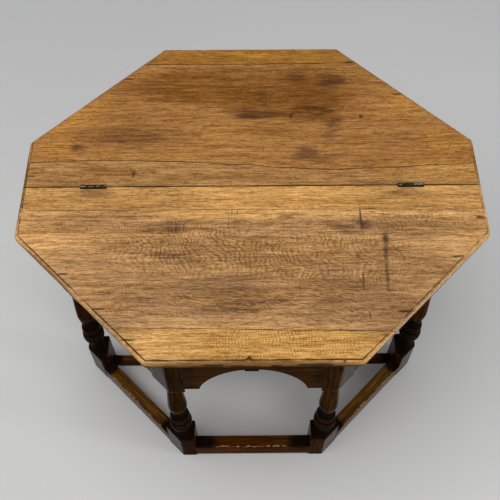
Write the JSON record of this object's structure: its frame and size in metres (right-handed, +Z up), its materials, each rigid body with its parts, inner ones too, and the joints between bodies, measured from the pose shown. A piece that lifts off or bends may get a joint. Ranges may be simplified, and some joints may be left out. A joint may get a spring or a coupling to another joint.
{
  "type": "fold-over tea table",
  "caption": "Oak tea table with an eight-sided fold-over top on turned legs, arched friezes and low stretchers, whose hinged leaf rests on a gate that swings out at the back.",
  "frame": {"origin": "on the floor under the middle of the opened top", "axes": "+X along the hinge line to the right, +Y to the back where the leaf and gate open, +Z up"},
  "size_m": [0.914, 0.76, 0.7154],
  "materials": {
    "top_oak": "honey-coloured oak, worn wax polish",
    "frame_oak": "dark brown oak, polished",
    "stretcher_oak": "golden brown oak, worn along the edges",
    "inner_oak": "oak, unpolished",
    "iron": "dark iron"
  },
  "bodies": {
    "frame": {"fixed_leaf_front_board": "top_oak", "fixed_leaf_middle_board": "top_oak", "fixed_leaf_hinge_board": "top_oak", "front_left_leg": "frame_oak", "front_right_leg": "frame_oak", "rear_left_leg": "frame_oak", "rear_right_leg": "frame_oak", "front_frieze": "frame_oak", "left_frieze": "frame_oak", "right_frieze": "frame_oak", "back_frieze": "frame_oak", "front_stretcher": "stretcher_oak", "left_stretcher": "stretcher_oak", "right_stretcher": "stretcher_oak", "rear_stretcher_left": "stretcher_oak", "rear_stretcher_right": "stretcher_oak", "back_post": "inner_oak", "front_glue_block_1": "inner_oak", "front_glue_block_2": "inner_oak", "right_glue_block_1": "inner_oak", "left_glue_block_1": "inner_oak", "back_glue_block_1": "inner_oak", "back_glue_block_2": "inner_oak", "top_hinge_left_fixed_plate": "iron", "top_hinge_left_pin": "iron", "top_hinge_right_fixed_plate": "iron", "top_hinge_right_pin": "iron", "gate_hinge_lower_fixed_plate": "iron", "gate_hinge_lower_pin": "iron", "gate_hinge_upper_fixed_plate": "iron", "gate_hinge_upper_pin": "iron"},
    "leaf": {"folding_leaf_hinge_board": "top_oak", "folding_leaf_middle_board": "top_oak", "folding_leaf_back_board": "top_oak", "top_hinge_left_moving_plate": "iron", "top_hinge_right_moving_plate": "iron"},
    "gate": {"gate_stile": "inner_oak", "gate_leg": "frame_oak", "gate_top_rail": "inner_oak", "gate_bottom_rail": "inner_oak", "gate_hinge_lower_moving_plate": "iron", "gate_hinge_upper_moving_plate": "iron"}
  },
  "joints": [
    {"name": "leaf_fold", "type": "hinge", "parent": "frame", "child": "leaf", "pos_m": [0, 0, 0.7114], "axis": [1, 0, 0], "range_deg": [0, 180]},
    {"name": "gate_swing", "type": "hinge", "parent": "frame", "child": "gate", "pos_m": [0.0235, -0.05694, 0], "axis": [0, 0, -1], "range_deg": [0, 90]}
  ]
}
